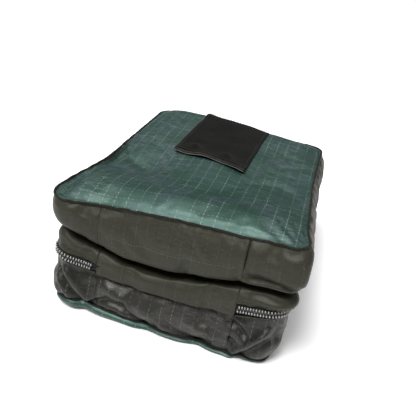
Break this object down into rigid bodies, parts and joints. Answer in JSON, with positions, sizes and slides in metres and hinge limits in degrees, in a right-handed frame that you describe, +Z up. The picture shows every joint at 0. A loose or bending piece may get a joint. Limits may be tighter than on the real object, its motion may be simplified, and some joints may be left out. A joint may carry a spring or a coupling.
{
  "type": "crash landing mat",
  "caption": "Small zip-round foam landing block: soft cloth cover split at the waist by a coil zip, a foam slab in each half and a loop patch on top.",
  "frame": {"origin": "middle of the flat resting face under the bottom panel", "axes": "+Z up through the top panel, -Y towards the front wall with the cloth hinge, +X to the right seen from the front"},
  "size_m": [0.2008, 0.256, 0.1276],
  "materials": {
    "top_cloth": "satin",
    "piping": "matte",
    "lower_wall_cloth": "satin",
    "upper_wall_cloth": "satin",
    "zip_tape": "matte",
    "zip_coil": "gloss",
    "binding": "matte",
    "foam": "matte",
    "loop_patch": "matte",
    "slider_metal": "satin"
  },
  "bodies": {
    "base": {"bottom_panel": "top_cloth", "bottom_seam_piping": "piping", "lower_gusset_front": "lower_wall_cloth", "lower_gusset_wrap": "lower_wall_cloth", "lower_zip_tape": "zip_tape", "lower_zip_coil": "zip_coil", "bottom_seam_binding": "binding", "lower_seam_binding_left": "binding", "lower_seam_binding_right": "binding", "lower_foam_slab": "foam"},
    "lid": {"top_panel": "top_cloth", "top_seam_piping": "piping", "upper_gusset_front": "upper_wall_cloth", "upper_gusset_wrap": "upper_wall_cloth", "upper_zip_tape": "zip_tape", "upper_zip_coil": "zip_coil", "top_seam_binding": "binding", "upper_seam_binding_left": "binding", "upper_seam_binding_right": "binding", "upper_foam_slab": "foam", "loop_patch": "loop_patch"},
    "zip_slider_left": {"zip_slider_left": "slider_metal"},
    "zip_slider_right": {"zip_slider_right": "slider_metal"},
    "pull_tab_left": {"pull_tab_left": "slider_metal"},
    "pull_tab_right": {"pull_tab_right": "slider_metal"}
  },
  "joints": [
    {"name": "lid_hinge", "type": "hinge", "parent": "base", "child": "lid", "pos_m": [0, -0.1259, 0.05], "axis": [1, 0, 0], "range_deg": [0, 120]},
    {"name": "zip_slide_left", "type": "slide", "parent": "base", "child": "zip_slider_left", "axis": [-1, 0, 0], "range_m": [0, 0.07]},
    {"name": "zip_slide_right", "type": "slide", "parent": "base", "child": "zip_slider_right", "axis": [1, 0, 0], "range_m": [0, 0.07]},
    {"name": "pull_tab_left_turn", "type": "hinge", "parent": "zip_slider_left", "child": "pull_tab_left", "pos_m": [-0.0075, 0.1282, 0.05], "axis": [0, 0, -1], "range_deg": [0, 100]},
    {"name": "pull_tab_right_turn", "type": "hinge", "parent": "zip_slider_right", "child": "pull_tab_right", "pos_m": [0.0075, 0.1282, 0.05], "axis": [0, 0, 1], "range_deg": [0, 100]}
  ]
}
